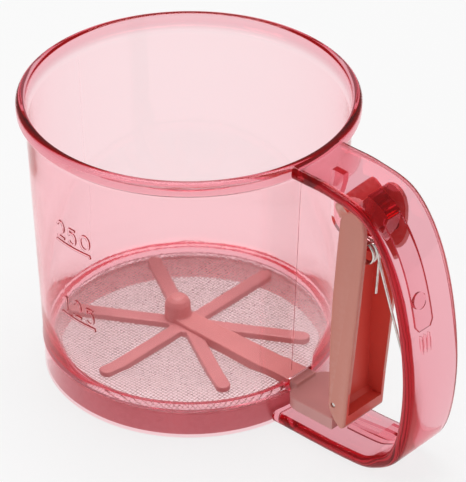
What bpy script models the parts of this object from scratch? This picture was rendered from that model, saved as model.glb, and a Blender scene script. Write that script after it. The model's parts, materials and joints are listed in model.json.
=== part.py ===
"""Hand flour sifter: a clear cup with a woven screen, and a sprung trigger that slides an agitator over it.

Metres, +Z up. The handle lies towards +X, and the base stands on Z = 0. The shapes are drawn about the cup's
axis, and the assembly empty moves them so that the middle of the whole length is at X = 0.
"""
import math

import bmesh
import bpy

# Cup
CUP_HEIGHT = 0.0863
RIM_RADIUS = 0.0475
RIM_OPENING = 0.0448
LIP_HEIGHT = 0.0042
BODY_TOP_RADIUS = 0.0451
BASE_RADIUS = 0.0419
WALL = 0.0012
RIDGE_Z = 0.0095
RIDGE = 0.0004
POCKET_RADIUS = 0.0403
LEDGE_RADIUS = 0.0392
LEDGE_LOW = 0.0086
LEDGE_HIGH = 0.0108
SLOT_HALF_WIDTH = 0.0046
SLOT_LOW = 0.0084
SLOT_HIGH = 0.0130
TURN_STEPS = 48
GAP = 0.0003

# Screen and the ring that holds it up against the ledge
SCREEN_RADIUS = 0.0399
SCREEN_LOW = 0.00782
SCREEN_HIGH = 0.0083
RING_INNER_RADIUS = 0.0384
RING_LOW = 0.0004

# Handle: a flat band bent to a D
HANDLE_HALF_WIDTH = 0.0103
HANDLE_THICKNESS = 0.0037
HANDLE_EDGE = 0.0014
HANDLE_LINE = (
    (0.0440, 0.0843), (0.0600, 0.0836), (0.0716, 0.0804), (0.0800, 0.0693), (0.0854, 0.0520),
    (0.0875, 0.0310), (0.0846, 0.0123), (0.0765, 0.0043), (0.0660, 0.0024), (0.0400, 0.0024),
)
HANDLE_OUTERMOST = 0.08935

# Trigger, pivot and spring
PIVOT = (0.0666, 0.0686)
ARM_PIN = (0.0609, 0.0154)
LEVER_HALF_WIDTH = 0.0085
LEVER_WALL = 0.0015
LEVER_FLOOR = 0.0130
BROW_HALF_WIDTH = 0.0068
BROW_MIDDLE = -0.0015
TONGUE_ROOM = 0.0114
WEB_END = 0.0205
PIVOT_PIN_RADIUS = 0.00125
ARM_PIN_RADIUS = 0.0010
PIN_HALF_LENGTH = 0.0076
PIN_HOLE_GAP = 0.0001
FLUSH_GAP = 0.00005
LUG_GAP = 0.0004
BRACKET_HALF_WIDTH = 0.0025
EYE_WALL = 0.0019
FIN_HALF_WIDTH = 0.0010
WIRE_RADIUS = 0.00045
COIL_CENTRE = (0.0678, 0.0673)
COIL_RADIUS = 0.0036
COIL_TURNS = 2.18
COIL_START_Y = -0.00345
COIL_PITCH = 0.00115

# Agitator
STAR_CENTRE_X = -0.0011
SPOKE_LENGTH = 0.0355
SPOKE_HALF_WIDTH = 0.0021
STAR_LOW = 0.0087
STAR_HIGH = 0.0107
LAP_Z = 0.0097
ARM_HIGH = 0.0119
ARM_HUB_HALF_WIDTH = 0.0033
ARM_SLOT_HALF_WIDTH = 0.0041
HUB_X = -0.0049
HUB_RADIUS = 0.0040
HUB_HIGH = 0.0166
TONGUE_FRONT = 0.0429
TONGUE_BACK = 0.0608
TONGUE_HALF_WIDTH = 0.0085
TONGUE_LOW = 0.0070
TONGUE_HIGH = 0.0107
EYE_HALF_WIDTH = 0.0030

AXIS_TO_MIDDLE = (HANDLE_OUTERMOST - RIM_RADIUS) / 2


def start():
    """An empty scene, with one collection for the parts and one for the cutters."""
    for item in list(bpy.data.objects):
        bpy.data.objects.remove(item, do_unlink=True)
    made = []
    for name in ("flour_sifter", "cutters"):
        group = bpy.data.collections.new(name)
        bpy.context.scene.collection.children.link(group)
        made.append(group)
    return made


PARTS, CUTTERS = start()
ASSEMBLY = bpy.data.objects.new("assembly", None)
ASSEMBLY.location = (-AXIS_TO_MIDDLE, 0, 0)
PARTS.objects.link(ASSEMBLY)


def pivot_empty(name, x, z):
    """An empty on a joint's axis, for the pieces that turn about it or slide from it."""
    empty = bpy.data.objects.new(name, None)
    empty.parent = ASSEMBLY
    empty.location = (x, 0, z)
    PARTS.objects.link(empty)
    return empty


def plastic(name, colour, roughness, alpha=1.0):
    material = bpy.data.materials.new(name)
    material.use_nodes = True
    shader = material.node_tree.nodes["Principled BSDF"]
    shader.inputs["Base Color"].default_value = (*colour, 1.0)
    shader.inputs["Roughness"].default_value = roughness
    shader.inputs["Metallic"].default_value = 0.0
    shader.inputs["Alpha"].default_value = alpha
    return material


def metal(name, colour, roughness):
    material = plastic(name, colour, roughness)
    material.node_tree.nodes["Principled BSDF"].inputs["Metallic"].default_value = 1.0
    return material


def place(name, mesh, material, parent=ASSEMBLY, origin=(0, 0, 0)):
    """A part whose mesh is drawn about the cup's axis, with its own origin moved to its parent's place."""
    for vertex in mesh.vertices:
        vertex.co.x -= origin[0]
        vertex.co.y -= origin[1]
        vertex.co.z -= origin[2]
    mesh.materials.append(material)
    part = bpy.data.objects.new(name, mesh)
    part.parent = parent
    PARTS.objects.link(part)
    return part


def tool(name, mesh, parent=ASSEMBLY, origin=(0, 0, 0)):
    """A solid that cuts or joins a part. It isn't a part itself."""
    solid = place(name, mesh, CLEAR_PINK, parent, origin)
    PARTS.objects.unlink(solid)
    CUTTERS.objects.link(solid)
    solid.hide_render = True
    solid.display_type = "WIRE"
    return solid


def combine(part, solid, operation):
    change = part.modifiers.new(operation.lower() + "_" + solid.name, "BOOLEAN")
    change.operation = operation
    change.object = solid
    change.solver = "EXACT"


def soften(part, width, segments=2):
    bevel = part.modifiers.new("edges", "BEVEL")
    bevel.width = width
    bevel.segments = segments
    bevel.limit_method = "ANGLE"
    bevel.angle_limit = math.radians(50)


def smooth(part, angle=40):
    part.data.shade_smooth()
    part.data.set_sharp_from_angle(angle=math.radians(angle))


def arc(centre, radius, first, last, steps):
    """Points on a circle from one angle to another, in degrees, both ends included."""
    turns = [math.radians(first + (last - first) * i / steps) for i in range(steps + 1)]
    return [(centre[0] + radius * math.cos(a), centre[1] + radius * math.sin(a)) for a in turns]


def smooth_line(points, steps):
    """A smooth curve through the points (Catmull-Rom), as a list of points."""
    ends = [points[0]] + list(points) + [points[-1]]
    line = []
    for a, b, c, d in zip(ends, ends[1:], ends[2:], ends[3:]):
        for i in range(steps):
            t = i / steps
            line.append(tuple(
                q + (r - p) * t / 2 + (p - 2.5 * q + 2 * r - s / 2) * t ** 2
                + (1.5 * q - p / 2 - 1.5 * r + s / 2) * t ** 3
                for p, q, r, s in zip(a, b, c, d)
            ))
    return line + [tuple(points[-1])]


def band(line, thickness):
    """The closed outline of a strip of even thickness along a line."""
    sides = ([], [])
    for i, (x, z) in enumerate(line):
        before, after = line[max(i - 1, 0)], line[min(i + 1, len(line) - 1)]
        dx, dz = after[0] - before[0], after[1] - before[1]
        reach = thickness / 2 / math.hypot(dx, dz)
        sides[0].append((x - dz * reach, z + dx * reach))
        sides[1].append((x + dz * reach, z - dx * reach))
    return sides[0] + sides[1][::-1]


def turned(name, profile):
    """A solid of revolution about Z. The closed profile of (radius, z) runs down its outer side."""
    mesh = bpy.data.meshes.new(name)
    count = len(profile)
    mesh.from_pydata([(r, 0, z) for r, z in profile], [(i, (i + 1) % count) for i in range(count)], [])
    return mesh


def spin(part):
    screw = part.modifiers.new("turn", "SCREW")
    screw.steps = TURN_STEPS
    screw.render_steps = TURN_STEPS
    screw.use_merge_vertices = True
    screw.merge_threshold = 0.00001


def solid_from_curve(name, curve):
    """The closed mesh of a filled curve, with its caps welded on."""
    guide = bpy.data.objects.new(name + "_guide", curve)
    bpy.context.scene.collection.objects.link(guide)
    bpy.context.view_layer.update()
    seen = guide.evaluated_get(bpy.context.evaluated_depsgraph_get())
    mesh = bpy.data.meshes.new_from_object(seen)
    mesh.name = name
    bm = bmesh.new()
    bm.from_mesh(mesh)
    bmesh.ops.remove_doubles(bm, verts=bm.verts, dist=0.000001)
    bmesh.ops.recalc_face_normals(bm, faces=bm.faces)
    bm.to_mesh(mesh)
    bm.free()
    bpy.data.objects.remove(guide, do_unlink=True)
    return mesh


def flat_solid(name, outline, half_depth):
    """A flat outline in the curve's own XY plane, given a depth both ways along Z."""
    curve = bpy.data.curves.new(name, "CURVE")
    curve.dimensions = "2D"
    curve.fill_mode = "BOTH"
    curve.extrude = half_depth
    spline = curve.splines.new("POLY")
    spline.points.add(len(outline) - 1)
    for point, (x, y) in zip(spline.points, outline):
        point.co = (x, y, 0, 1)
    spline.use_cyclic_u = True
    return solid_from_curve(name, curve)


def upright(name, outline, half_width, middle_y=0.0):
    """An (x, z) outline with its width along Y."""
    mesh = flat_solid(name, outline, half_width)
    for vertex in mesh.vertices:
        x, z, depth = vertex.co
        vertex.co = (x, middle_y - depth, z)
    return mesh


def level(name, outline, low, high):
    """An (x, y) outline between two heights."""
    mesh = flat_solid(name, outline, (high - low) / 2)
    for vertex in mesh.vertices:
        vertex.co.z += (low + high) / 2
    return mesh


def rod(name, radius, half_length, x, z, segments=24):
    """A cylinder along Y, centred on the cup's middle plane."""
    mesh = bpy.data.meshes.new(name)
    bm = bmesh.new()
    bmesh.ops.create_cone(bm, cap_ends=True, segments=segments, radius1=radius, radius2=radius,
                          depth=2 * half_length)
    for vertex in bm.verts:
        across, along, depth = vertex.co
        vertex.co = (x + across, -depth, z + along)
    bm.to_mesh(mesh)
    bm.free()
    return mesh


def tube(name, points, radius):
    """A round wire along the points, as a closed mesh."""
    curve = bpy.data.curves.new(name, "CURVE")
    curve.dimensions = "3D"
    curve.bevel_depth = radius
    curve.bevel_resolution = 2
    curve.use_fill_caps = True
    spline = curve.splines.new("POLY")
    spline.points.add(len(points) - 1)
    for point, place_at in zip(spline.points, points):
        point.co = (*place_at, 1)
    return solid_from_curve(name, curve)


CLEAR_PINK = plastic("clear_pink_plastic", (0.86, 0.36, 0.46), 0.08, 0.45)
DUSTY_PINK = plastic("dusty_pink_plastic", (0.60, 0.20, 0.17), 0.38)
RING_PINK = plastic("ring_plastic", (0.66, 0.20, 0.22), 0.35)
WOVEN_STEEL = metal("woven_steel", (0.62, 0.60, 0.58), 0.35)
NICKEL = metal("nickel_wire", (0.72, 0.70, 0.66), 0.22)


def cup_outside(grow=0.0):
    """The cup's outer side from the lip down to the base, moved out by grow."""
    lip_low = CUP_HEIGHT - LIP_HEIGHT
    side = arc((RIM_RADIUS - 0.0014, CUP_HEIGHT - 0.0014), 0.0014 + grow, 90, 0, 3)
    side += [
        (RIM_RADIUS + grow, lip_low),
        (BODY_TOP_RADIUS + grow, lip_low - 0.0012 - grow),
        (BASE_RADIUS + RIDGE / 2 + grow, RIDGE_Z + RIDGE),
        (BASE_RADIUS + RIDGE + grow, RIDGE_Z),
        (BASE_RADIUS + grow, RIDGE_Z - RIDGE),
        (BASE_RADIUS + grow, 0.0004),
        (BASE_RADIUS - 0.0004 + grow, 0.0),
    ]
    return side


def make_cup():
    inner_low = BASE_RADIUS + 0.0003 - WALL
    inner_high = BODY_TOP_RADIUS - WALL
    profile = cup_outside() + [
        (POCKET_RADIUS, 0.0),
        (POCKET_RADIUS, LEDGE_LOW),
        (LEDGE_RADIUS, LEDGE_LOW),
        (LEDGE_RADIUS, LEDGE_HIGH),
        (inner_low, LEDGE_HIGH + 0.0006),
        (inner_high, CUP_HEIGHT - 0.0065),
        (RIM_OPENING - 0.0003, CUP_HEIGHT - 0.0028),
    ] + arc((RIM_OPENING + 0.0009, CUP_HEIGHT - 0.0009), 0.0009, 180, 90, 2)
    cup = place("cup_body", turned("cup_body", profile), CLEAR_PINK)
    spin(cup)
    slot = level("arm_slot", [
        (0.030, -SLOT_HALF_WIDTH), (0.050, -SLOT_HALF_WIDTH),
        (0.050, SLOT_HALF_WIDTH), (0.030, SLOT_HALF_WIDTH),
    ], SLOT_LOW, SLOT_HIGH)
    combine(cup, tool("arm_slot", slot), "DIFFERENCE")
    smooth(cup)


def make_screen():
    ring = turned("screen_ring", [
        (POCKET_RADIUS - GAP, SCREEN_LOW - GAP), (POCKET_RADIUS - GAP, RING_LOW),
        (RING_INNER_RADIUS, RING_LOW), (RING_INNER_RADIUS, SCREEN_LOW - GAP),
    ])
    part = place("screen_ring", ring, RING_PINK)
    spin(part)
    smooth(part)
    outline = arc((0, 0), SCREEN_RADIUS, 0, 360 - 360 / TURN_STEPS, TURN_STEPS - 1)
    part = place("screen_mesh", level("screen_mesh", outline, SCREEN_LOW, SCREEN_HIGH), WOVEN_STEEL)
    smooth(part)


def make_handle():
    """The D band, the bracket that carries the pivot, the fin beside the trigger's head, and a rib."""
    outline = band(smooth_line(HANDLE_LINE, 5), HANDLE_THICKNESS)
    handle = place("handle", upright("handle", outline, HANDLE_HALF_WIDTH), CLEAR_PINK)
    soften(handle, HANDLE_EDGE)
    eye = arc(PIVOT, PIVOT_PIN_RADIUS + EYE_WALL, 170, 350, 10)
    eye += [(0.0714, 0.0735), (0.0724, 0.0786), (0.0660, 0.0818), (0.0649, 0.0760)]
    bracket = tool("bracket", upright("bracket", eye, BRACKET_HALF_WIDTH))
    combine(handle, bracket, "UNION")
    fin_outline = [(0.0526, 0.0830), (0.0526, 0.0705)] + arc((0.0576, 0.0703), 0.0050, 180, 245, 4)
    fin_outline += [(0.0563, 0.0655), (0.0563, 0.0830)]
    combine(handle, tool("rest_fin", upright("rest_fin", fin_outline, FIN_HALF_WIDTH)), "UNION")
    rib = upright("floor_rib", [(0.0620, 0.0030), (0.0620, 0.0052), (0.0750, 0.0068), (0.0810, 0.0100),
                                (0.0800, 0.0050), (0.0740, 0.0030)], 0.0022)
    combine(handle, tool("floor_rib", rib), "UNION")
    bore = rod("bracket_bore", PIVOT_PIN_RADIUS + GAP, 0.0050, *PIVOT)
    combine(handle, tool("bracket_bore", bore), "DIFFERENCE")
    profile = cup_outside(GAP)
    profile += [(0.030, 0.0), (0.030, CUP_HEIGHT + GAP)]
    outside = tool("cup_clearance", turned("cup_clearance", profile))
    spin(outside)
    combine(handle, outside, "DIFFERENCE")
    smooth(handle)


def make_trigger():
    """A channel open towards the handle and at its top: two cheeks, a floor, and a web on the cup's side."""
    trigger = pivot_empty("trigger_pivot", *PIVOT)
    origin = (PIVOT[0], 0, PIVOT[1])
    front = [(0.0591, 0.0140), (0.0590, 0.0340), (0.0595, 0.0480), (0.0606, 0.0630), (0.0614, 0.0727)]
    outline = [(0.0638, 0.0084), (0.0632, 0.0085), (0.0611, 0.0104)] + front
    outline += [(0.0617, 0.0760), (0.0623, 0.0776), (0.0636, 0.0789), (0.0652, 0.0797), (0.0666, 0.0798)]
    outline += [(0.0682, 0.0791), (0.0694, 0.0775), (0.0700, 0.0750), (0.0701, 0.0710), (0.0698, 0.0660)]
    outline += [(0.0687, 0.0525), (0.0674, 0.0380), (0.0658, 0.0208), (0.0650, 0.0094)]
    body = upright("trigger_lever", outline, LEVER_HALF_WIDTH)
    lever = place("trigger_lever", body, DUSTY_PINK, trigger, origin)
    soften(lever, 0.0005)
    brow = upright("lever_brow", [
        (0.0618, 0.0763), (0.0600, 0.0790), (0.0600, 0.0800), (0.0609, 0.0807), (0.0622, 0.0806), (0.0642, 0.0790),
    ], BROW_HALF_WIDTH, BROW_MIDDLE)
    combine(lever, tool("lever_brow", brow, trigger, origin), "UNION")
    hollow = [(0.0618, LEVER_FLOOR)] + [(x + LEVER_WALL, z + GAP) for x, z in front]
    hollow += [(0.0634, 0.0766), (0.0644, 0.0790), (0.0654, 0.0840), (0.0800, 0.0840), (0.0800, LEVER_FLOOR)]
    inside = LEVER_HALF_WIDTH - LEVER_WALL
    combine(lever, tool("lever_hollow", upright("lever_hollow", hollow, inside), trigger, origin), "DIFFERENCE")
    mouth = [(0.0560, 0.0060), (0.0642, 0.0060), (0.0642, TONGUE_ROOM), (0.0560, TONGUE_ROOM)]
    mouth_cut = upright("lever_mouth", mouth, inside - FLUSH_GAP)
    combine(lever, tool("lever_mouth", mouth_cut, trigger, origin), "DIFFERENCE")
    slot = [(0.0560, 0.0110), (0.0641, 0.0110), (0.0641, WEB_END), (0.0560, WEB_END)]
    slot_cut = upright("lug_slot", slot, EYE_HALF_WIDTH + LUG_GAP)
    combine(lever, tool("lug_slot", slot_cut, trigger, origin), "DIFFERENCE")
    for name, radius, centre in (("pivot", PIVOT_PIN_RADIUS, PIVOT), ("arm_pin", ARM_PIN_RADIUS, ARM_PIN)):
        hole = rod(name + "_hole", radius + PIN_HOLE_GAP, PIN_HALF_LENGTH + GAP, *centre)
        combine(lever, tool(name + "_hole", hole, trigger, origin), "DIFFERENCE")
    smooth(lever)
    pin = place("arm_pin", rod("arm_pin", ARM_PIN_RADIUS, PIN_HALF_LENGTH, *ARM_PIN), NICKEL, trigger, origin)
    smooth(pin)


def make_pivot():
    pin = place("pivot_pin", rod("pivot_pin", PIVOT_PIN_RADIUS, PIN_HALF_LENGTH, *PIVOT), NICKEL)
    smooth(pin)
    end_y = COIL_START_Y - COIL_TURNS * COIL_PITCH
    steps = round(COIL_TURNS * 16)
    coil = []
    for i in range(steps + 1):
        turn = COIL_TURNS * i / steps
        angle = 2 * math.pi * turn
        coil.append((COIL_CENTRE[0] + COIL_RADIUS * math.cos(angle), COIL_START_Y - COIL_PITCH * turn,
                     COIL_CENTRE[1] + COIL_RADIUS * math.sin(angle)))
    short_leg = [(0.0707, COIL_START_Y, 0.0543), (0.0713, COIL_START_Y, 0.0640)]
    long_leg = smooth_line([coil[-1], (0.0714, end_y, 0.0713), (0.0729, end_y, 0.0694), (0.0740, end_y, 0.0654),
                            (0.0787, end_y, 0.0520), (0.0846, end_y, 0.0358)], 4)
    wire = tube("torsion_spring", short_leg + coil + long_leg[1:], WIRE_RADIUS)
    smooth(place("torsion_spring", wire, NICKEL))


def make_arm():
    """The pull arm: a bar over the screen, a boss at its inner end, a wide tongue outside and an eye on the pin."""
    slide = pivot_empty("agitator_slide", STAR_CENTRE_X, LAP_Z)
    origin = (STAR_CENTRE_X, 0, LAP_Z)
    bar = [
        (HUB_X, -ARM_HUB_HALF_WIDTH), (0.0380, -ARM_SLOT_HALF_WIDTH), (0.0440, -ARM_SLOT_HALF_WIDTH),
        (0.0440, ARM_SLOT_HALF_WIDTH), (0.0380, ARM_SLOT_HALF_WIDTH), (HUB_X, ARM_HUB_HALF_WIDTH),
    ]
    arm = place("pull_arm", level("pull_arm", bar, LAP_Z + GAP, ARM_HIGH), DUSTY_PINK, slide, origin)
    boss = level("arm_boss", arc((HUB_X, 0), HUB_RADIUS, 0, 345, 23), LAP_Z + GAP, HUB_HIGH)
    combine(arm, tool("arm_boss", boss, slide, origin), "UNION")
    keel = level("arm_keel", [(0.0130, -0.0022), (0.0450, -0.0032), (0.0450, 0.0032), (0.0130, 0.0022)],
                 STAR_LOW + 0.0001, LAP_Z + 0.0006)
    combine(arm, tool("arm_keel", keel, slide, origin), "UNION")
    corner = 0.0045
    inner = TONGUE_HALF_WIDTH - corner
    tongue = arc((TONGUE_FRONT + corner, -inner), corner, 180, 270, 4)
    tongue += [(TONGUE_BACK, -TONGUE_HALF_WIDTH), (TONGUE_BACK, TONGUE_HALF_WIDTH)]
    tongue += arc((TONGUE_FRONT + corner, inner), corner, 90, 180, 4)
    plate = level("arm_tongue", tongue, TONGUE_LOW, TONGUE_HIGH)
    combine(arm, tool("arm_tongue", plate, slide, origin), "UNION")
    lug = arc(ARM_PIN, 0.0026, 180, -60, 10) + [(0.0610, 0.0108), (0.0606, 0.0085), (0.0578, 0.0085)]
    combine(arm, tool("arm_lug", upright("arm_lug", lug, EYE_HALF_WIDTH), slide, origin), "UNION")
    bore = rod("arm_bore", ARM_PIN_RADIUS + 0.0005, 0.0060, *ARM_PIN)
    combine(arm, tool("arm_bore", bore, slide, origin), "DIFFERENCE")
    smooth(arm)
    make_star(slide, origin)


def make_star(slide, origin):
    """Three bars with round ends, crossed at the centre, with a pocket on top for the pull arm."""
    star = None
    for turn in (30, 90, 150):
        across = math.radians(turn)
        reach = SPOKE_LENGTH - SPOKE_HALF_WIDTH
        ends = [(STAR_CENTRE_X + side * reach * math.cos(across), side * reach * math.sin(across))
                for side in (1, -1)]
        outline = arc(ends[0], SPOKE_HALF_WIDTH, turn - 90, turn + 90, 8)
        outline += arc(ends[1], SPOKE_HALF_WIDTH, turn + 90, turn + 270, 8)
        mesh = level("spoke_%d" % turn, outline, STAR_LOW, STAR_HIGH)
        if star is None:
            star = place("agitator_star", mesh, DUSTY_PINK, slide, origin)
        else:
            combine(star, tool("spoke_%d" % turn, mesh, slide, origin), "UNION")
    hub = level("star_hub", arc((STAR_CENTRE_X, 0), 0.0068, 0, 352.5, 47), STAR_LOW, LAP_Z)
    combine(star, tool("star_hub", hub, slide, origin), "UNION")
    grow = GAP + 0.0001
    pocket = [
        (HUB_X, -ARM_HUB_HALF_WIDTH - grow), (0.0380, -ARM_SLOT_HALF_WIDTH - grow),
        (0.0380, ARM_SLOT_HALF_WIDTH + grow), (HUB_X, ARM_HUB_HALF_WIDTH + grow),
    ]
    combine(star, tool("arm_pocket", level("arm_pocket", pocket, LAP_Z, 0.0200), slide, origin), "DIFFERENCE")
    seat = level("boss_pocket", arc((HUB_X, 0), HUB_RADIUS + grow, 0, 345, 23), LAP_Z, 0.0200)
    combine(star, tool("boss_pocket", seat, slide, origin), "DIFFERENCE")
    smooth(star)


make_cup()
make_screen()
make_handle()
make_trigger()
make_pivot()
make_arm()
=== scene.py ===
"""Looks of the hand flour sifter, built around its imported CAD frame.

Shapes are drawn in millimetres about the cup's axis, with the handle towards +X. settle() turns each
one into metres, at its place in the frame.
"""
import json
import math

import bmesh
import bpy
from mathutils import Matrix, Vector


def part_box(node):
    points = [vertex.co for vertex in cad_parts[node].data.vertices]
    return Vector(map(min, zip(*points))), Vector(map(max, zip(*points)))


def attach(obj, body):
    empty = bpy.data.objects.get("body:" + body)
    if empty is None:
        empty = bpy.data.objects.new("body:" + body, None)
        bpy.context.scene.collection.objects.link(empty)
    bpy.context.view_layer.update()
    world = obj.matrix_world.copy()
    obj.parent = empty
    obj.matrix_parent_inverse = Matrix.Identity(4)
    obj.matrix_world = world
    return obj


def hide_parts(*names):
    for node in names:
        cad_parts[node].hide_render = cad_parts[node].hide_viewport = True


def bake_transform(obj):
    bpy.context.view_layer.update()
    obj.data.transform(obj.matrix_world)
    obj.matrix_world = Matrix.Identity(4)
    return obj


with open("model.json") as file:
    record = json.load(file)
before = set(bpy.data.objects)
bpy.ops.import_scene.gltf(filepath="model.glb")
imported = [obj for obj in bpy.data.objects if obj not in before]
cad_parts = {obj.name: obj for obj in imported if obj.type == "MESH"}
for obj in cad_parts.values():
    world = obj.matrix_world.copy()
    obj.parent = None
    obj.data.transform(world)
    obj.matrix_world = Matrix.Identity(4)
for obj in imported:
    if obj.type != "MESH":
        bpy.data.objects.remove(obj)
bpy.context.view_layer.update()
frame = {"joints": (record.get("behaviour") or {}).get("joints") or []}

MM = 0.001
CUP_LOW, CUP_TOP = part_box("cup_body")
RIM_RADIUS = (CUP_TOP.y - CUP_LOW.y) / 2 / MM
AXIS_X = CUP_LOW.x + RIM_RADIUS * MM


def drawn(point):
    """A point of the frame, in millimetres about the cup's axis."""
    return Vector(((point[0] - AXIS_X) / MM, point[1] / MM, point[2] / MM))


def node_box(node):
    return [drawn(corner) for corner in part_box(node)]


# Cup
CUP_HEIGHT = node_box("cup_body")[1].z
RIM_OPENING = 44.8
RIM_ROUND = 1.4
RIM_INNER_ROUND = 0.9
LIP_HEIGHT = 4.2
LIP_ROUND = 1.0
BODY_TOP_RADIUS = 45.1
BASE_RADIUS = 41.9
FOOT_ROUND = 0.8
WALL = 1.2
RIDGE_Z = 9.5
LEDGE_RADIUS = 39.2
LEDGE_LOW = 8.6
LEDGE_HIGH = 10.8
POCKET_RADIUS = 40.3
SLOT_HALF_WIDTH = 4.6
SLOT_LOW = 8.4
SLOT_HIGH = 13.0
SLOT_ENDS = (30.0, 50.0)
ROUND_STEPS = 240
WELD = 0.0001

# Graduations, moulded on the wall: (number, height of its underline)
GRADUATIONS = (("250", 56.1), ("125", 31.8))
GRADUATION_FROM = -100.8
DIGIT_HEIGHT = 4.4
DIGIT_WIDTH = 3.1
DIGIT_ADVANCE = 4.7
DIGIT_FOOT = 1.5
STROKE = 0.8
STROKE_PROUD = 0.45

# Parting lines: degrees round the cup, and a section in (degrees, millimetres out)
PARTING_TURNS = (-5.7, 177.7)
PARTING_SECTION = ((-0.16, -0.1), (0.16, -0.1), (0.0, 0.15))

# Screen
SCREEN_LOW, SCREEN_HIGH = (corner.z for corner in node_box("screen_mesh"))
SCREEN_RADIUS = node_box("screen_mesh")[1].y
RING_LOW, RING_HIGH = (corner.z for corner in node_box("screen_ring"))
RING_RADIUS = node_box("screen_ring")[1].y
RING_INNER_RADIUS = 38.4
WEAVE_PITCH = 1.0
WEAVE_WIRE = 0.13
WEAVE_TURN = 2.0

# Handle
HANDLE_HALF_WIDTH = node_box("handle")[1].y
HANDLE_THICKNESS = 3.7
HANDLE_CORNER = 1.6
HANDLE_LINE = (
    (38.0, 84.3), (50.0, 84.15), (60.0, 83.6), (71.6, 80.4), (80.0, 69.3), (85.4, 52.0),
    (87.5, 31.0), (84.6, 12.3), (76.5, 4.3), (66.0, 2.4), (40.0, 2.4),
)
LINE_STEPS = 12
CORNER_STEPS = 4

# Trigger
HINGE = next(joint for joint in frame["joints"] if joint["name"] == "trigger_pivot")
PIVOT = drawn(HINGE["pos_m"]).xz
ARM_PIN = (sum(node_box("arm_pin"), Vector()) / 2).xz
LEVER_HALF_WIDTH = node_box("trigger_lever")[1].y
LEVER_WALL = 1.5
LEVER_FLOOR = 13.0
WEB_END = 11.4
BROW_HALF_WIDTH = 6.8
BROW_MIDDLE = -1.5
# Where the painted shade on the channel's inner faces begins
WEB_FACE_X = 60.4
BRACKET_HALF_WIDTH = 2.5
PIN_HALF_LENGTH = node_box("pivot_pin")[1].y
PIVOT_PIN_RADIUS = 1.25
ARM_PIN_END = 0.75
ARM_PIN_DEPTH = 0.9
WIRE_RADIUS = 0.38
WIRE_SIDES = 12
TURN_STEPS = 32
COIL_CENTRE = (67.8, 67.3)
COIL_RADIUS = 3.6
COIL_TURNS = 2.18
COIL_START_Y = -3.45
COIL_PITCH = 1.15

# Agitator
MOULD_VOXEL = 0.25
STAR_CENTRE_X = -1.1
STAR_HUB_RADIUS = 5.6
SPOKE_LENGTH = 35.5
SPOKE_HALF_WIDTH = 2.1
STAR_LOW = 8.7
STAR_HIGH = 10.7
HUB_X = -4.9
HUB_HIGH = node_box("pull_arm")[1].z
ARM_HIGH = 11.9
ARM_HUB_HALF_WIDTH = 3.3
BOSS_RADIUS = 3.9
TONGUE_FRONT = 42.9
TONGUE_BACK = 60.8
TONGUE_HALF_WIDTH = 8.5
TONGUE_CORNER = 4.5
TONGUE_LOW = 7.0
TONGUE_HIGH = 10.7

# Stage: metres and radians, and the lens in millimetres
FLOOR_RADIUS = 6.0
SOFTBOX_AIM = (0, 0, 0.04)
LIGHT_BOUNCES = 40
LENS = 237.0
CAMERA_PLACE = (0.4907, -0.5475, 0.5253)
CAMERA_PITCH = 0.5765
CAMERA_YAW = 0.0162
CAMERA_ROLL = 0.0023
CAMERA_TURN = math.radians(43.06)


# ---- Shapes ----

def arc(centre, radius, first, last, steps):
    """Points on a circle from one angle to another, in degrees, both ends included."""
    turns = [math.radians(first + (last - first) * i / steps) for i in range(steps + 1)]
    return [(centre[0] + radius * math.cos(a), centre[1] + radius * math.sin(a)) for a in turns]


def smooth_line(points, steps):
    """A smooth curve through the points (Catmull-Rom), as a list of points."""
    ends = [points[0]] + list(points) + [points[-1]]
    line = []
    for a, b, c, d in zip(ends, ends[1:], ends[2:], ends[3:]):
        for i in range(steps):
            t = i / steps
            line.append(tuple(
                0.5 * (2 * q + (r - p) * t + (2 * p - 5 * q + 4 * r - s) * t ** 2
                       + (3 * q - p - 3 * r + s) * t ** 3)
                for p, q, r, s in zip(a, b, c, d)
            ))
    return line + [tuple(points[-1])]


def tidy(mesh):
    """Welds what coincides, drops loose edges and turns every face outwards."""
    bm = bmesh.new()
    bm.from_mesh(mesh)
    bmesh.ops.remove_doubles(bm, verts=bm.verts, dist=WELD)
    bmesh.ops.delete(bm, geom=[edge for edge in bm.edges if not edge.link_faces], context="EDGES")
    bmesh.ops.recalc_face_normals(bm, faces=bm.faces)
    bm.to_mesh(mesh)
    bm.free()


def close(mesh):
    """Fills the few small faces that a cut leaves out."""
    bm = bmesh.new()
    bm.from_mesh(mesh)
    bmesh.ops.holes_fill(bm, edges=[edge for edge in bm.edges if edge.is_boundary], sides=8)
    bmesh.ops.recalc_face_normals(bm, faces=bm.faces)
    bm.to_mesh(mesh)
    bm.free()


def shape(name, vertices, faces):
    mesh = bpy.data.meshes.new(name)
    mesh.from_pydata([tuple(v) for v in vertices], [], faces)
    tidy(mesh)
    made = bpy.data.objects.new(name, mesh)
    bpy.context.scene.collection.objects.link(made)
    return made


def skin(name, sections, ring=False):
    """A closed body over a row of equal outlines. In a ring the last outline joins the first."""
    count = len(sections[0])
    rows = len(sections)
    faces = []
    for i in range(rows if ring else rows - 1):
        here = i * count
        there = (i + 1) % rows * count
        for j in range(count):
            k = (j + 1) % count
            faces.append((here + j, here + k, there + k, there + j))
    if not ring:
        faces.append(tuple(range(count)))
        faces.append(tuple(range((rows - 1) * count, rows * count)))
    return shape(name, [point for section in sections for point in section], faces)


def revolve(name, profile, steps=ROUND_STEPS):
    """A (radius, z) outline turned about the cup's axis."""
    sections = []
    for i in range(steps):
        turn = 2 * math.pi * i / steps
        sections.append([(r * math.cos(turn), r * math.sin(turn), z) for r, z in profile])
    return skin(name, sections, ring=True)


def upright(name, outline, half_width, middle=0.0):
    """An (x, z) outline with its width along Y."""
    return skin(name, [[(x, y, z) for x, z in outline] for y in (middle - half_width, middle + half_width)])


def level(name, outline, low, high):
    """An (x, y) outline between two heights."""
    return skin(name, [[(x, y, z) for x, y in outline] for z in (low, high)])


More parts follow.
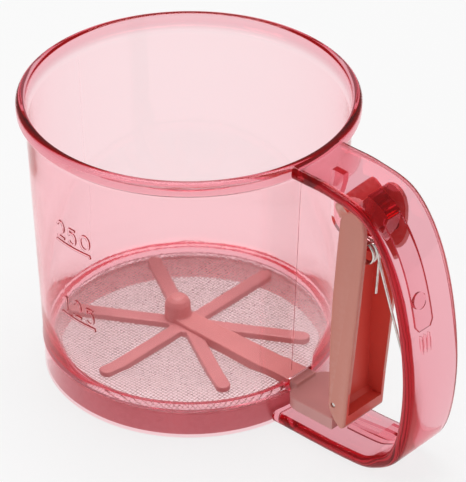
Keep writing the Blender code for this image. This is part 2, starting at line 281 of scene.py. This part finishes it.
def round_wire(name, points, radius):
    """A round wire along the points, its outline carried along without twist."""
    points = [Vector(p) for p in points]
    circle = arc((0, 0), radius, 0, 360 - 360 / WIRE_SIDES, WIRE_SIDES - 1)
    across = Vector((0, 1, 0))
    sections = []
    for i, point in enumerate(points):
        along = (points[min(i + 1, len(points) - 1)] - points[max(i - 1, 0)]).normalized()
        across = (across - along * across.dot(along)).normalized()
        over = along.cross(across)
        sections.append([point + across * x + over * y for x, y in circle])
    return skin(name, sections)


def pin(name, centre, radius, half_length):
    """A round pin along Y with softened ends."""
    soft = radius * 0.25
    profile = [(0, half_length)] + arc((radius - soft, half_length - soft), soft, 90, 0, 4)
    profile += arc((radius - soft, soft - half_length), soft, 0, -90, 4) + [(0, -half_length)]
    sections = []
    for i in range(TURN_STEPS):
        turn = 2 * math.pi * i / TURN_STEPS
        x, z = math.cos(turn), math.sin(turn)
        sections.append([(centre[0] + r * x, y, centre[1] + r * z) for r, y in profile])
    return skin(name, sections, ring=True)


def settled_mesh(piece):
    """The piece's mesh with its modifiers taken in."""
    bpy.context.view_layer.update()
    return bpy.data.meshes.new_from_object(piece.evaluated_get(bpy.context.evaluated_depsgraph_get()))


def take_in(piece):
    mesh = settled_mesh(piece)
    piece.modifiers.clear()
    piece.data = mesh


def combine(piece, operation, *tools):
    for tool in tools:
        change = piece.modifiers.new(tool.name, "BOOLEAN")
        change.operation = operation
        change.object = tool
        change.solver = "EXACT"
    take_in(piece)
    for tool in tools:
        bpy.data.objects.remove(tool, do_unlink=True)


def soften(piece, width, segments, angle):
    bevel = piece.modifiers.new("edges", "BEVEL")
    bevel.width = width
    bevel.segments = segments
    bevel.limit_method = "ANGLE"
    bevel.angle_limit = math.radians(angle)
    take_in(piece)


def mould(piece, voxel, rounds):
    """Remeshes a solid, so that its edges and inner corners flow as moulded plastic's do."""
    remesh = piece.modifiers.new("remesh", "REMESH")
    remesh.mode = "VOXEL"
    remesh.voxel_size = voxel
    relax = piece.modifiers.new("relax", "SMOOTH")
    relax.factor = 0.5
    relax.iterations = rounds
    take_in(piece)


def settle(piece, material, body, slot, *nodes, sharp=35):
    """Puts a finished shape in the frame: place, scale, shading, material, body and CAD nodes. The slot
    argument is not used.
    """
    piece.data.transform(Matrix.Translation((AXIS_X, 0, 0)) @ Matrix.Scale(MM, 4))
    piece.data.shade_smooth()
    piece.data.set_sharp_from_angle(angle=math.radians(sharp))
    piece.data.materials.clear()
    piece.data.materials.append(material)
    if body:
        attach(piece, body)
    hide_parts(*nodes)


# ---- Materials ----

class Surface:
    """A Principled material with the node steps its detail takes. Scales are in cycles per metre."""

    def __init__(self, name):
        self.material = bpy.data.materials.new(name)
        self.material.use_nodes = True
        self.tree = self.material.node_tree
        self.shader = self.tree.nodes["Principled BSDF"]
        self.place = self.tree.nodes.new("ShaderNodeTexCoord").outputs["Object"]

    def set(self, **values):
        for name, value in values.items():
            self.shader.inputs[name.replace("_", " ")].default_value = value

    def join(self, source, target):
        self.tree.links.new(source, target)

    def noise(self, scale, detail=3.0, stretch=(1, 1, 1)):
        place = self.tree.nodes.new("ShaderNodeMapping")
        place.inputs["Scale"].default_value = stretch
        self.join(self.place, place.inputs["Vector"])
        made = self.tree.nodes.new("ShaderNodeTexNoise")
        made.inputs["Scale"].default_value = scale
        made.inputs["Detail"].default_value = detail
        self.join(place.outputs["Vector"], made.inputs["Vector"])
        return made.outputs["Fac"]

    def spread(self, source, low, high, out_low, out_high):
        made = self.tree.nodes.new("ShaderNodeMapRange")
        ends = {"From Min": low, "From Max": high, "To Min": out_low, "To Max": out_high}
        for name, value in ends.items():
            made.inputs[name].default_value = value
        self.join(source, made.inputs["Value"])
        return made.outputs["Result"]

    def blend(self, share, first, second):
        made = self.tree.nodes.new("ShaderNodeMix")
        made.data_type = "RGBA"
        self.join(share, made.inputs["Factor"])
        for socket, value in ((made.inputs["A"], first), (made.inputs["B"], second)):
            if isinstance(value, tuple):
                socket.default_value = (*value, 1)
            else:
                self.join(value, socket)
        return made.outputs["Result"]

    def bump(self, heights):
        """Bumps from (height, distance in metres) pairs, one after another."""
        normal = None
        for height, distance in heights:
            made = self.tree.nodes.new("ShaderNodeBump")
            made.inputs["Distance"].default_value = distance
            self.join(height, made.inputs["Height"])
            if normal:
                self.join(normal, made.inputs["Normal"])
            normal = made.outputs["Normal"]
        self.join(normal, self.shader.inputs["Normal"])

    def colour(self, source):
        self.join(source, self.shader.inputs["Base Color"])

    def gloss(self, scale, low, high):
        """A roughness that drifts between two values."""
        self.join(self.spread(self.noise(scale), 0.3, 0.7, low, high), self.shader.inputs["Roughness"])

    def edges(self):
        """1 on the mesh's outer edges, 0 on its flats."""
        pointed = self.tree.nodes.new("ShaderNodeNewGeometry").outputs["Pointiness"]
        return self.spread(pointed, 0.52, 0.60, 0.0, 1.0)


def clear_plastic():
    """Clear pink moulding. Its colour is in its depth: pale through a wall, red along an edge.

    The faint glow stands for light that is trapped between the faces and leaves by the edges.
    """
    made = Surface("clear_pink_plastic")
    made.set(Base_Color=(1, 1, 1, 1), IOR=1.5, Transmission_Weight=1.0, Specular_Tint=(1.0, 0.4, 0.45, 1),
             Emission_Color=(1.0, 0.02, 0.02, 1), Emission_Strength=0.030)
    made.gloss(90, 0.015, 0.05)
    made.bump([(made.noise(45, 1.0, (1, 1, 0.4)), 0.00012), (made.noise(900), 0.000003)])
    depth = made.tree.nodes.new("ShaderNodeVolumeAbsorption")
    depth.inputs["Color"].default_value = (0.80, 0.03, 0.17, 1)
    depth.inputs["Density"].default_value = 200
    made.join(depth.outputs["Volume"], made.tree.nodes["Material Output"].inputs["Volume"])
    return made.material


def opaque_plastic(name, colour, worn, roughness):
    """Satin plastic with a faint moulding flow, fine grain and edges rubbed paler."""
    made = Surface(name)
    darker = tuple(c * 0.9 for c in colour)
    flow = made.blend(made.spread(made.noise(60, 2.0, (1, 1, 0.25)), 0.35, 0.65, 0, 1), darker, colour)
    rubbed = made.spread(made.noise(700), 0.4, 0.7, 0.2, 1.0)
    worn_share = made.tree.nodes.new("ShaderNodeMath")
    worn_share.operation = "MULTIPLY"
    made.join(made.edges(), worn_share.inputs[0])
    made.join(rubbed, worn_share.inputs[1])
    made.colour(made.blend(worn_share.outputs["Value"], flow, worn))
    made.gloss(250, roughness - 0.07, roughness + 0.07)
    made.set(IOR=1.5, Subsurface_Weight=0.0)
    made.bump([(made.noise(3500, 2.0), 0.00001), (made.noise(120, 1.0), 0.00003)])
    return made.material


def metal(name, colour, tarnish, roughness, grain):
    """Drawn wire, with dull patches, an uneven gloss and a fine grain."""
    made = Surface(name)
    made.colour(made.blend(made.spread(made.noise(400), 0.45, 0.7, 0, 1), colour, tarnish))
    made.set(Metallic=1.0)
    made.gloss(1500, roughness - 0.06, roughness + 0.08)
    made.bump([(made.noise(grain, 2.0), 0.000004)])
    return made.material


CLEAR = clear_plastic()
DUSTY = opaque_plastic("dusty_pink_plastic", (0.71, 0.265, 0.205), (0.78, 0.42, 0.36), 0.36)
# Painted light: a lighter, pinker copy of the trigger's plastic for the pull arm, standing in for the light
# it gets, partly through the pink wall
ARM_LIT_PLASTIC = opaque_plastic("arm_painted_light_plastic", (0.73, 0.335, 0.315), (0.82, 0.42, 0.37), 0.36)
# Painted shade: a darker, redder copy of the trigger's plastic for the channel's inner faces, standing in
# for the shade and the red light inside the channel
PAINTED_SHADE_LINING_PLASTIC = opaque_plastic("painted_shade_lining_plastic", (0.84, 0.12, 0.085), (0.88, 0.3, 0.25), 0.36)
# Painted light: a lighter, pinker copy of the trigger's plastic for the star, standing in for the light and
# pink tint it gets behind the clear wall
STAR_LIT_PLASTIC = opaque_plastic("star_painted_light_plastic", (0.70, 0.34, 0.33), (0.78, 0.46, 0.44), 0.36)
RING = opaque_plastic("ring_plastic", (0.95, 0.45, 0.48), (0.97, 0.55, 0.58), 0.34)
STEEL = metal("woven_steel", (0.68, 0.62, 0.60), (0.52, 0.46, 0.44), 0.30, 9000)
NICKEL = metal("nickel_steel", (0.72, 0.70, 0.66), (0.50, 0.46, 0.42), 0.18, 6000)


# ---- Cup and handle, one clear moulding ----

HANDLE_CENTRES = [Vector((x, 0, z)) for x, z in smooth_line(HANDLE_LINE, LINE_STEPS)]


def handle_frame(i):
    """A point of the handle's centre line and its outward direction."""
    before = HANDLE_CENTRES[max(i - 1, 0)]
    after = HANDLE_CENTRES[min(i + 1, len(HANDLE_CENTRES) - 1)]
    along = (after - before).normalized()
    return HANDLE_CENTRES[i], Vector((-along.z, 0, along.x))


def rounded_box(half_width, low, high, corner):
    """An outline in (across, outward) with round corners."""
    outline = []
    for x, y, first in ((1, 1, 0), (-1, 1, 90), (-1, -1, 180), (1, -1, 270)):
        centre = (x * (half_width - corner), (high if y > 0 else low) - y * corner)
        outline += arc(centre, corner, first, first + 90, CORNER_STEPS)
    return outline


def strip_on_handle(name, first, last, half_width, low, high, corner, round_ends=0.0, middle=0.0):
    """A strip along the handle between two of its guide points. Low and high are from its centre line."""
    start, stop = round(first * LINE_STEPS), round(last * LINE_STEPS)
    lengths = [0.0]
    for i in range(start, stop):
        lengths.append(lengths[-1] + (HANDLE_CENTRES[i + 1] - HANDLE_CENTRES[i]).length)
    sections = []
    for i, length in zip(range(start, stop + 1), lengths):
        centre, outward = handle_frame(i)
        inset = max(round_ends - min(length, lengths[-1] - length), 0.0)
        narrow = half_width - round_ends + math.sqrt(max(round_ends ** 2 - inset ** 2, 0.0004))
        outline = rounded_box(narrow, low, high, min(corner, narrow * 0.9))
        sections.append([centre + Vector((0, middle + across, 0)) + outward * up for across, up in outline])
    return skin(name, sections)


def disc_on_handle(name, place, middle, radius, low, high):
    """A round boss square to the handle at one of its guide points."""
    centre, outward = handle_frame(round(place * LINE_STEPS))
    along = Vector((outward.z, 0, -outward.x))
    circle = arc((0, 0), radius, 0, 350, 35)
    sections = []
    for up in (low, high):
        sections.append([centre + along * x + Vector((0, middle + y, 0)) + outward * up for x, y in circle])
    return skin(name, sections)


def wall_radius(z):
    """The outer wall's radius at a height."""
    foot = RIDGE_Z + 0.8
    under_lip = CUP_HEIGHT - LIP_HEIGHT - 1.0
    return BASE_RADIUS + 0.2 + (BODY_TOP_RADIUS - BASE_RADIUS - 0.2) * (z - foot) / (under_lip - foot)


def on_wall(turn, z, out):
    """A point near the outer wall: degrees round it, height, and distance out from it."""
    radius = wall_radius(z) + out
    return Vector((radius * math.cos(math.radians(turn)), radius * math.sin(math.radians(turn)), z))


def cup_outside():
    profile = [(0, CUP_HEIGHT)]
    profile += arc((RIM_RADIUS - RIM_ROUND, CUP_HEIGHT - RIM_ROUND), RIM_ROUND, 90, 0, 8)
    lip_low = CUP_HEIGHT - LIP_HEIGHT + 1.2
    profile += arc((RIM_RADIUS - LIP_ROUND, lip_low), LIP_ROUND, 0, -50, 5)
    under_lip = ((0.75, 1.8), (0.35, 2.25), (0.1, 2.9), (0.0, 3.8))
    profile += [(BODY_TOP_RADIUS + x, lip_low - z) for x, z in under_lip]
    profile += [(wall_radius(z), z) for z in (72.0, 58.0, 46.0, 34.0, 22.0, RIDGE_Z + 0.8)]
    ridge = ((0.4, 0.3), (0.4, -0.2), (0.0, -0.7))
    profile += [(BASE_RADIUS + out, RIDGE_Z + up) for out, up in ridge]
    profile += arc((BASE_RADIUS - FOOT_ROUND, FOOT_ROUND), FOOT_ROUND, 0, -90, 5) + [(0, 0)]
    return profile


def cup_inside():
    """What is cut from the cup: its inside above the ledge, the ledge's opening, the screen's pocket."""
    lip = arc((RIM_OPENING + RIM_INNER_ROUND, CUP_HEIGHT - RIM_INNER_ROUND), RIM_INNER_ROUND, 100, 180, 6)
    slope = math.radians(10)
    above = (lip[0][0] + 1.5 * math.cos(slope), lip[0][1] + 1.5 * math.sin(slope))
    profile = [(0, above[1]), above] + lip
    profile += [(RIM_OPENING - 0.3, CUP_HEIGHT - 2.8), (BODY_TOP_RADIUS - WALL, CUP_HEIGHT - 6.5)]
    profile += [(wall_radius(z) - WALL, z) for z in (66.0, 50.0, 34.0, 20.0)]
    profile += [(BASE_RADIUS + 0.3 - WALL, LEDGE_HIGH + 0.8)]
    profile += arc((LEDGE_RADIUS + 0.4, LEDGE_HIGH - 0.4), 0.4, 90, 180, 3)
    profile += [(LEDGE_RADIUS, LEDGE_LOW), (POCKET_RADIUS, LEDGE_LOW), (POCKET_RADIUS, -2.0), (0, -2.0)]
    return profile


DIGITS = {
    "0": [arc((0.5, 0.5), 0.5, 90, 450, 24)],
    "1": [[(0.15, 0.78), (0.55, 1.0)], [(0.58, 1.05), (0.58, 0.0)]],
    "2": [arc((0.5, 0.72), 0.42, 165, -35, 14) + [(0.10, 0.02)], [(0.0, 0.0), (1.0, 0.0)]],
    "5": [[(0.90, 1.0), (0.18, 1.0)], [(0.20, 1.04), (0.12, 0.52)], arc((0.47, 0.32), 0.42, 140, -150, 16)],
}


def stroke(name, path, turn, foot, closed=False):
    """A raised stroke on the wall. The path's points are millimetres along the wall and up from foot."""
    sections = []
    count = len(path)
    for i, (along, up) in enumerate(path):
        before = path[i - 1] if closed or i else path[0]
        after = path[(i + 1) % count] if closed or i < count - 1 else path[-1]
        heading = Vector((after[0] - before[0], after[1] - before[1])).normalized()
        section = []
        for side, out in ((-0.5, -0.4), (0.5, -0.4), (0.36, STROKE_PROUD), (-0.36, STROKE_PROUD)):
            a = along - heading.y * side * STROKE
            z = foot + up + heading.x * side * STROKE
            section.append(on_wall(turn + math.degrees(a / wall_radius(z)), z, out))
        sections.append(section)
    return skin(name, sections, ring=closed)


def graduations():
    marks = []
    for number, foot in GRADUATIONS:
        for place, digit in enumerate(number):
            for path in DIGITS[digit]:
                left = place * DIGIT_ADVANCE
                line = [(left + x * DIGIT_WIDTH, DIGIT_FOOT + y * DIGIT_HEIGHT) for x, y in path]
                closed = digit == "0"
                if closed:
                    line.pop()
                marks.append(stroke("digit", line, GRADUATION_FROM, foot, closed))
        width = len(number) * DIGIT_ADVANCE
        line = [(-0.6 + (width - 1.1) * i / 10, 0.0) for i in range(11)] + [(width - 1.6, -0.8)]
        marks.append(stroke("underline", line, GRADUATION_FROM, foot))
    return marks


def parting_lines():
    """The fine ridges that the mould's halves leave down the wall."""
    ridges = []
    for turn in PARTING_TURNS:
        sections = []
        for z in (16.0, 30.0, 50.0, 70.0, 80.0):
            sections.append([on_wall(turn + side, z, out) for side, out in PARTING_SECTION])
        ridges.append(skin("parting_line", sections))
    return ridges


def handle_details():
    """The pivot's bracket, the rest fin, and the ribs, pad and boss inside the grip."""
    half = HANDLE_THICKNESS / 2
    eye = arc(PIVOT, PIVOT_PIN_RADIUS + 1.9, 170, 350, 16)
    outline = eye + [(71.4, 73.5), (72.4, 78.6), (66.0, 81.8), (64.9, 76.0)]
    parts = [upright("bracket", outline, BRACKET_HALF_WIDTH)]
    fin = [(52.6, 83.0), (52.6, 70.5)] + arc((57.6, 70.3), 5.0, 180, 245, 8) + [(56.3, 65.5), (56.3, 83.0)]
    parts.append(upright("rest_fin", fin, 1.0))
    sunk = -half + 0.5
    parts.append(strip_on_handle("pad", 3.2, 5.2, 3.5, -half - 0.7, sunk, 0.5, 1.2, -1.2))
    parts.append(disc_on_handle("boss", 4.75, -1.1, 2.35, -half - 1.3, sunk))
    for middle in (-2.6, -1.1, 0.4):
        parts.append(strip_on_handle("grip_rib", 5.25, 5.5, 0.35, -half - 0.8, sunk, 0.2, 0.3, middle))
    rib = [(61.0, 3.0), (61.0, 6.0), (71.5, 7.2), (74.0, 10.1)]
    rib += [(77.0, 10.3), (81.0, 9.8), (80.0, 5.0), (74.0, 3.0)]
    for middle in (-1.5, 1.5):
        parts.append(upright("floor_rib", rib, 0.6, middle))
    return parts


def slot_cutter():
    outline = [(z, y) for z, y in rounded_box(SLOT_HALF_WIDTH, SLOT_LOW, SLOT_HIGH, 0.6)]
    return skin("arm_slot", [[(x, across, up) for across, up in outline] for x in SLOT_ENDS])


def clear_moulding():
    body = revolve("clear_moulding", cup_outside())
    half = HANDLE_THICKNESS / 2
    last = len(HANDLE_LINE) - 1
    combine(body, "UNION", strip_on_handle("band", 0, last, HANDLE_HALF_WIDTH, -half, half, HANDLE_CORNER))
    combine(body, "UNION", *handle_details())
    combine(body, "UNION", *graduations())
    combine(body, "UNION", *parting_lines())
    combine(body, "DIFFERENCE", revolve("inside", cup_inside()), slot_cutter())
    combine(body, "DIFFERENCE", pin("bore", PIVOT, PIVOT_PIN_RADIUS + 0.3, 5.0))
    tidy(body.data)
    close(body.data)
    settle(body, CLEAR, "cup", "clear_plastic", "cup_body", "handle", sharp=30)


# ---- Screen ----

def screen_ring():
    profile = [(RING_RADIUS, RING_HIGH - 0.4), (RING_RADIUS, RING_LOW + 0.4), (RING_RADIUS - 0.4, RING_LOW)]
    profile += [(RING_INNER_RADIUS + 0.4, RING_LOW), (RING_INNER_RADIUS, RING_LOW + 0.4)]
    profile += [(RING_INNER_RADIUS, RING_HIGH - 0.3), (RING_INNER_RADIUS + 0.3, RING_HIGH)]
    profile += [(RING_RADIUS - 0.4, RING_HIGH)]
    settle(revolve("retaining_ring", profile), RING, "cup", "ring_plastic", "screen_ring")


def woven_screen():
    """A plain weave: two sets of wires, each passing over and under the other's in turn."""
    middle = (SCREEN_LOW + SCREEN_HIGH) / 2
    reach = int(SCREEN_RADIUS / WEAVE_PITCH)
    corners = [(1, 0), (0, 1), (-1, 0), (0, -1)]
    vertices = []
    faces = []
    turned = Matrix.Rotation(math.radians(WEAVE_TURN), 3, "Z")
    for across in (0, 1):
        for row in range(-reach, reach + 1):
            side = row * WEAVE_PITCH
            count = int(math.sqrt(max(SCREEN_RADIUS ** 2 - side ** 2, 0)) / WEAVE_PITCH)
            if count < 1:
                continue
            first = len(vertices)
            for step in range(-count, count + 1):
                over = WEAVE_WIRE if (step + row + across) % 2 else -WEAVE_WIRE
                for out, up in corners:
                    x, y = step * WEAVE_PITCH, side + out * WEAVE_WIRE
                    if across:
                        x, y = y, x
                    vertices.append(turned @ Vector((x, y, middle + over + up * WEAVE_WIRE)))
            for step in range(2 * count):
                here = first + step * 4
                for j in range(4):
                    k = (j + 1) % 4
                    faces.append((here + j, here + k, here + 4 + k, here + 4 + j))
            faces.append((first, first + 1, first + 2, first + 3))
            end = first + 8 * count
            faces.append((end, end + 1, end + 2, end + 3))
    mesh = bpy.data.meshes.new("woven_screen")
    mesh.from_pydata(vertices, [], faces)
    bm = bmesh.new()
    bm.from_mesh(mesh)
    bmesh.ops.recalc_face_normals(bm, faces=bm.faces)
    bm.to_mesh(mesh)
    bm.free()
    made = bpy.data.objects.new("woven_screen", mesh)
    bpy.context.scene.collection.objects.link(made)
    settle(made, STEEL, "cup", "woven_steel", "screen_mesh", sharp=100)


# ---- Agitator ----

def star():
    """Three bars with round ends, crossed at a hub."""
    bars = []
    reach = SPOKE_LENGTH - SPOKE_HALF_WIDTH
    for turn in (30, 90, 150):
        across = math.radians(turn)
        x, y = reach * math.cos(across), reach * math.sin(across)
        ends = [(STAR_CENTRE_X + side * x, side * y) for side in (1, -1)]
        outline = arc(ends[0], SPOKE_HALF_WIDTH, turn - 90, turn + 90, 10)
        outline += arc(ends[1], SPOKE_HALF_WIDTH, turn + 90, turn + 270, 10)
        bars.append(level("bar", outline, STAR_LOW, STAR_HIGH))
    hub = level("hub", arc((STAR_CENTRE_X, 0), STAR_HUB_RADIUS, 0, 352.5, 47), STAR_LOW, STAR_HIGH - 0.2)
    piece = bars[0]
    piece.name = "agitator_star_moulding"
    combine(piece, "UNION", bars[1], bars[2], hub)
    mould(piece, MOULD_VOXEL, 6)
    settle(piece, STAR_LIT_PLASTIC, "agitator", "trigger_plastic", "agitator_star", sharp=80)


def arm():
    """The pull arm: a bar over the screen with a boss at its inner end, and a wide tongue outside."""
    half = ARM_HUB_HALF_WIDTH
    bar = [(HUB_X, -half), (38.0, -4.1), (44.0, -4.1), (44.0, 4.1), (38.0, 4.1), (HUB_X, half)]
    piece = level("pull_arm_moulding", bar, STAR_LOW + 0.1, ARM_HIGH)
    dome = [(0, HUB_HIGH), (2.0, HUB_HIGH - 0.3), (3.1, HUB_HIGH - 1.2), (3.7, HUB_HIGH - 2.6)]
    side = [(BOSS_RADIUS, ARM_HIGH), (BOSS_RADIUS, STAR_LOW + 0.1), (0, STAR_LOW + 0.1)]
    boss = revolve("boss", dome + side, TURN_STEPS)
    boss.data.transform(Matrix.Translation((HUB_X, 0, 0)))
    inner = TONGUE_HALF_WIDTH - TONGUE_CORNER
    outline = arc((TONGUE_FRONT + TONGUE_CORNER, -inner), TONGUE_CORNER, 180, 270, 8)
    outline += [(TONGUE_BACK, -TONGUE_HALF_WIDTH), (TONGUE_BACK, TONGUE_HALF_WIDTH)]
    outline += arc((TONGUE_FRONT + TONGUE_CORNER, inner), TONGUE_CORNER, 90, 180, 8)
    tongue = level("tongue", outline, TONGUE_LOW, TONGUE_HIGH)
    combine(piece, "UNION", boss, tongue)
    mould(piece, MOULD_VOXEL, 3)
    settle(piece, ARM_LIT_PLASTIC, "agitator", "trigger_plastic", "pull_arm", sharp=80)


# ---- Trigger ----

def trigger():
    """A channel open towards the handle and at its top: two cheeks, a web on the cup's side, a floor."""
    front = [
        (63.5, 8.4), (61.1, 10.4), (59.1, 14.0), (59.0, 34.0), (59.5, 48.0), (60.6, 63.0), (61.4, 72.7),
    ]
    head = [
        (61.7, 76.0), (62.3, 77.6), (63.6, 78.9), (65.2, 79.7), (66.6, 79.8), (68.2, 79.1), (69.4, 77.5),
        (70.0, 75.0),
    ]
    back = [(70.1, 71.0), (69.8, 66.0), (68.7, 52.5), (67.4, 38.0), (65.8, 20.8), (65.0, 9.4)]
    piece = upright("trigger_moulding", front + head + back, LEVER_HALF_WIDTH)
    soften(piece, 0.7, 4, 50)
    brow = [(61.7, 76.3), (60.0, 79.0), (60.0, 80.0), (60.9, 80.7), (62.2, 80.6), (64.2, 79.0)]
    combine(piece, "UNION", upright("brow", brow, BROW_HALF_WIDTH, BROW_MIDDLE))
    hollow = [(61.8, LEVER_FLOOR)] + [(x + LEVER_WALL, z + 0.3) for x, z in front[2:]]
    hollow += [(63.4, 76.6), (64.4, 79.0), (65.4, 84.0), (80.0, 84.0), (80.0, LEVER_FLOOR)]
    inside = LEVER_HALF_WIDTH - LEVER_WALL
    mouth = [(56.0, 6.0), (64.2, 6.0), (64.2, WEB_END), (56.0, WEB_END)]
    combine(piece, "DIFFERENCE", upright("hollow", hollow, inside), upright("mouth", mouth, inside - 0.05))
    arm_hole = pin("arm_hole", ARM_PIN, ARM_PIN_END + 0.05, 12.0)
    combine(arm_hole, "DIFFERENCE", round_the_arm_pin(LEVER_HALF_WIDTH - ARM_PIN_DEPTH))
    pivot_hole = pin("pivot_hole", PIVOT, PIVOT_PIN_RADIUS + 0.1, PIN_HALF_LENGTH + 0.3)
    combine(piece, "DIFFERENCE", pivot_hole, arm_hole)
    settle(piece, DUSTY, "trigger", "trigger_plastic", "trigger_lever")
    # The channel's inner faces get the painted shade material: its darker red stands for the shade and red
    # light inside the channel, not for a different plastic
    piece.data.materials.append(PAINTED_SHADE_LINING_PLASTIC)
    for face in piece.data.polygons:
        place = drawn(face.center)
        painted_shade_lining = abs(place.y) < inside + 0.02 and place.z > LEVER_FLOOR - 0.1 and place.x > WEB_FACE_X
        face.material_index = int(painted_shade_lining)


def round_the_arm_pin(half_width):
    """A block that takes the middle out of a pin or a bore, and leaves its two ends."""
    block = rounded_box(4.0, -4.0, 4.0, 1.0)
    return upright("block", [(ARM_PIN.x + x, ARM_PIN.y + z) for x, z in block], half_width)


def pins():
    pivot_pin = pin("pivot_pin_turned", PIVOT, PIVOT_PIN_RADIUS, PIN_HALF_LENGTH)
    settle(pivot_pin, NICKEL, "cup", "nickel_steel", "pivot_pin")
    ends = pin("arm_pin_turned", ARM_PIN, ARM_PIN_END, LEVER_HALF_WIDTH - 0.3)
    combine(ends, "DIFFERENCE", round_the_arm_pin(LEVER_HALF_WIDTH - ARM_PIN_DEPTH + 0.05))
    settle(ends, NICKEL, "trigger", "nickel_steel", "arm_pin")


def spring():
    """A torsion spring about the pivot: one leg on the trigger, the other on the handle."""
    end_y = COIL_START_Y - COIL_TURNS * COIL_PITCH
    steps = round(COIL_TURNS * TURN_STEPS)
    coil = []
    for i in range(steps + 1):
        turn = COIL_TURNS * i / steps
        angle = 2 * math.pi * turn
        coil.append((COIL_CENTRE[0] + COIL_RADIUS * math.cos(angle), COIL_START_Y - COIL_PITCH * turn,
                     COIL_CENTRE[1] + COIL_RADIUS * math.sin(angle)))
    short_leg = smooth_line([(70.7, COIL_START_Y, 54.3), (71.3, COIL_START_Y, 64.0), coil[0]], 8)
    long_leg = smooth_line([coil[-1], (71.4, end_y, 71.3), (72.9, end_y, 69.4), (74.0, end_y, 65.4),
                            (78.7, end_y, 52.0), (84.6, end_y, 35.8)], 8)
    piece = round_wire("coiled_spring", short_leg[:-1] + coil + long_leg[1:], WIRE_RADIUS)
    settle(piece, NICKEL, None, "nickel_steel", "torsion_spring", sharp=80)
    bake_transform(piece)


# ---- Stage ----

def floor():
    """A round pale floor that glows like a light table."""
    edge = arc((0, 0), 1.0, 0, 345, 23)
    made = shape("floor", [(x, y, 0) for x, y in edge], [tuple(range(len(edge)))])
    made.data.transform(Matrix.Scale(FLOOR_RADIUS, 4))
    surface = Surface("pale_floor")
    surface.colour(surface.blend(surface.noise(3), (0.10, 0.10, 0.10), (0.12, 0.12, 0.12)))
    surface.set(Roughness=0.7, Emission_Color=(1, 1, 1, 1), Emission_Strength=0.80)
    made.data.materials.append(surface.material)


def softbox(name, place, size, watts):
    lamp = bpy.data.lights.new(name, "AREA")
    lamp.shape = "DISK"
    lamp.size = size
    lamp.energy = watts
    made = bpy.data.objects.new(name, lamp)
    made.location = place
    made.rotation_euler = (Vector(SOFTBOX_AIM) - Vector(place)).to_track_quat("-Z", "Y").to_euler()
    bpy.context.scene.collection.objects.link(made)


def light():
    world = bpy.data.worlds.new("studio")
    world.use_nodes = True
    background = world.node_tree.nodes["Background"]
    background.inputs["Color"].default_value = (1, 1, 1, 1)
    background.inputs["Strength"].default_value = 0.30
    bpy.context.scene.world = world
    softbox("top", (-0.2, 0.2, 1.3), 1.1, 13)
    softbox("key", (-0.5, -1.1, 1.5), 0.8, 6)
    softbox("fill", (1.3, 0.4, 1.1), 0.8, 3)
    bpy.context.scene.view_settings.view_transform = "Standard"
    cycles = bpy.context.scene.cycles
    cycles.max_bounces = cycles.transmission_bounces = cycles.glossy_bounces = LIGHT_BOUNCES


def camera():
    """A long lens, looking down at the cup with the handle to its right."""
    data = bpy.data.cameras.new("camera")
    data.sensor_width = 36.0
    data.lens = LENS
    made = bpy.data.objects.new("camera", data)
    made.location = CAMERA_PLACE
    level_x, level_y = math.sin(CAMERA_YAW), math.cos(CAMERA_YAW)
    flat, down = math.cos(CAMERA_PITCH), math.sin(CAMERA_PITCH)
    forward = Vector((level_x * flat, level_y * flat, -down))
    right = Vector((level_y, -level_x, 0))
    up = right.cross(forward)
    cos_roll, sin_roll = math.cos(CAMERA_ROLL), math.sin(CAMERA_ROLL)
    right, up = right * cos_roll + up * sin_roll, up * cos_roll - right * sin_roll
    axes = Matrix((right, up, -forward)).transposed()
    made.rotation_euler = (Matrix.Rotation(CAMERA_TURN, 3, "Z") @ axes).to_euler()
    bpy.context.scene.collection.objects.link(made)
    bpy.context.scene.camera = made


camera()
clear_moulding()
screen_ring()
woven_screen()
star()
arm()
trigger()
pins()
spring()
floor()
light()
